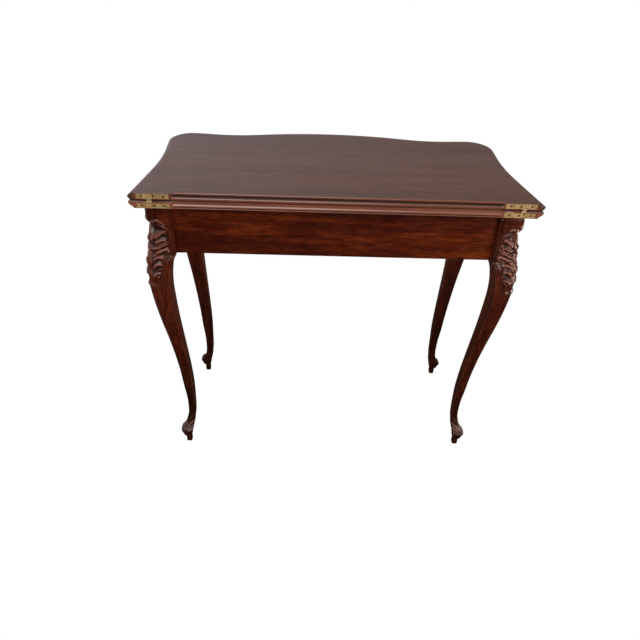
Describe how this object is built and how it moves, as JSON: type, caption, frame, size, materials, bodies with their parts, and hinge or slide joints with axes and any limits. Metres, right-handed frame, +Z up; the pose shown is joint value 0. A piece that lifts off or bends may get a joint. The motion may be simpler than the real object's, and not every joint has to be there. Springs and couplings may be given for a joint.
{
  "type": "games table",
  "caption": "Serpentine mahogany games table on cabriole legs; the folded top swivels a quarter turn and its hinged leaf opens to a square lined with baize, over a card well.",
  "frame": {"origin": "on the floor under the middle of the closed top's bounding box", "axes": "+X along the hinged edge, to the right of someone who looks at it; +Y from the hinged edge towards the serpentine front; +Z up"},
  "size_m": [0.85, 0.425, 0.745],
  "materials": {
    "mahogany_top": "waxed, aged",
    "mahogany_frame": "french polished, aged",
    "inner_wood": "unfinished",
    "aged_brass": "tarnished",
    "iron": "dark, dull",
    "green_baize": "napped wool cloth"
  },
  "bodies": {
    "frame": {"apron_back": "mahogany_frame", "apron_front": "mahogany_frame", "apron_left": "mahogany_frame", "apron_right": "mahogany_frame", "leg_back_left": "mahogany_frame", "leg_back_right": "mahogany_frame", "leg_front_left": "mahogany_frame", "leg_front_right": "mahogany_frame", "pivot_board": "inner_wood", "well_divider": "inner_wood", "well_floor": "inner_wood", "stop_block_closed": "inner_wood", "stop_block_turned": "inner_wood"},
    "folded_top": {"lower_leaf": "mahogany_top", "baize_lower": "green_baize", "hinge_plate_lower_left": "aged_brass", "hinge_plate_lower_right": "aged_brass", "hinge_pin_lower_left": "iron", "hinge_pin_lower_right": "iron", "hinge_screws_lower": "aged_brass", "pivot_plate": "iron", "pivot_pin": "iron", "pivot_plate_screws": "iron", "pivot_washer": "iron", "pivot_nut": "iron", "stop_peg": "inner_wood"},
    "hinge_links": {"hinge_link_left": "aged_brass", "hinge_link_right": "aged_brass"},
    "opening_leaf": {"upper_leaf": "mahogany_top", "baize_upper": "green_baize", "hinge_plate_upper_left": "aged_brass", "hinge_plate_upper_right": "aged_brass", "hinge_pin_upper_left": "iron", "hinge_pin_upper_right": "iron", "hinge_screws_upper": "aged_brass"}
  },
  "joints": [
    {"name": "top_swivel", "type": "hinge", "parent": "frame", "child": "folded_top", "pos_m": [-0.10625, -0.10625, 0.7127], "axis": [0, 0, 1], "range_deg": [0, 90]},
    {"name": "link_fold", "type": "hinge", "parent": "folded_top", "child": "hinge_links", "pos_m": [0, -0.2085, 0.7247], "axis": [1, 0, 0], "range_deg": [0, 90]},
    {"name": "leaf_fold", "type": "hinge", "parent": "hinge_links", "child": "opening_leaf", "pos_m": [0, -0.2085, 0.733], "axis": [1, 0, 0], "range_deg": [0, 90]}
  ],
  "couplings": [
    {"joint": "link_fold", "follows": "leaf_fold", "ratio": 1}
  ]
}
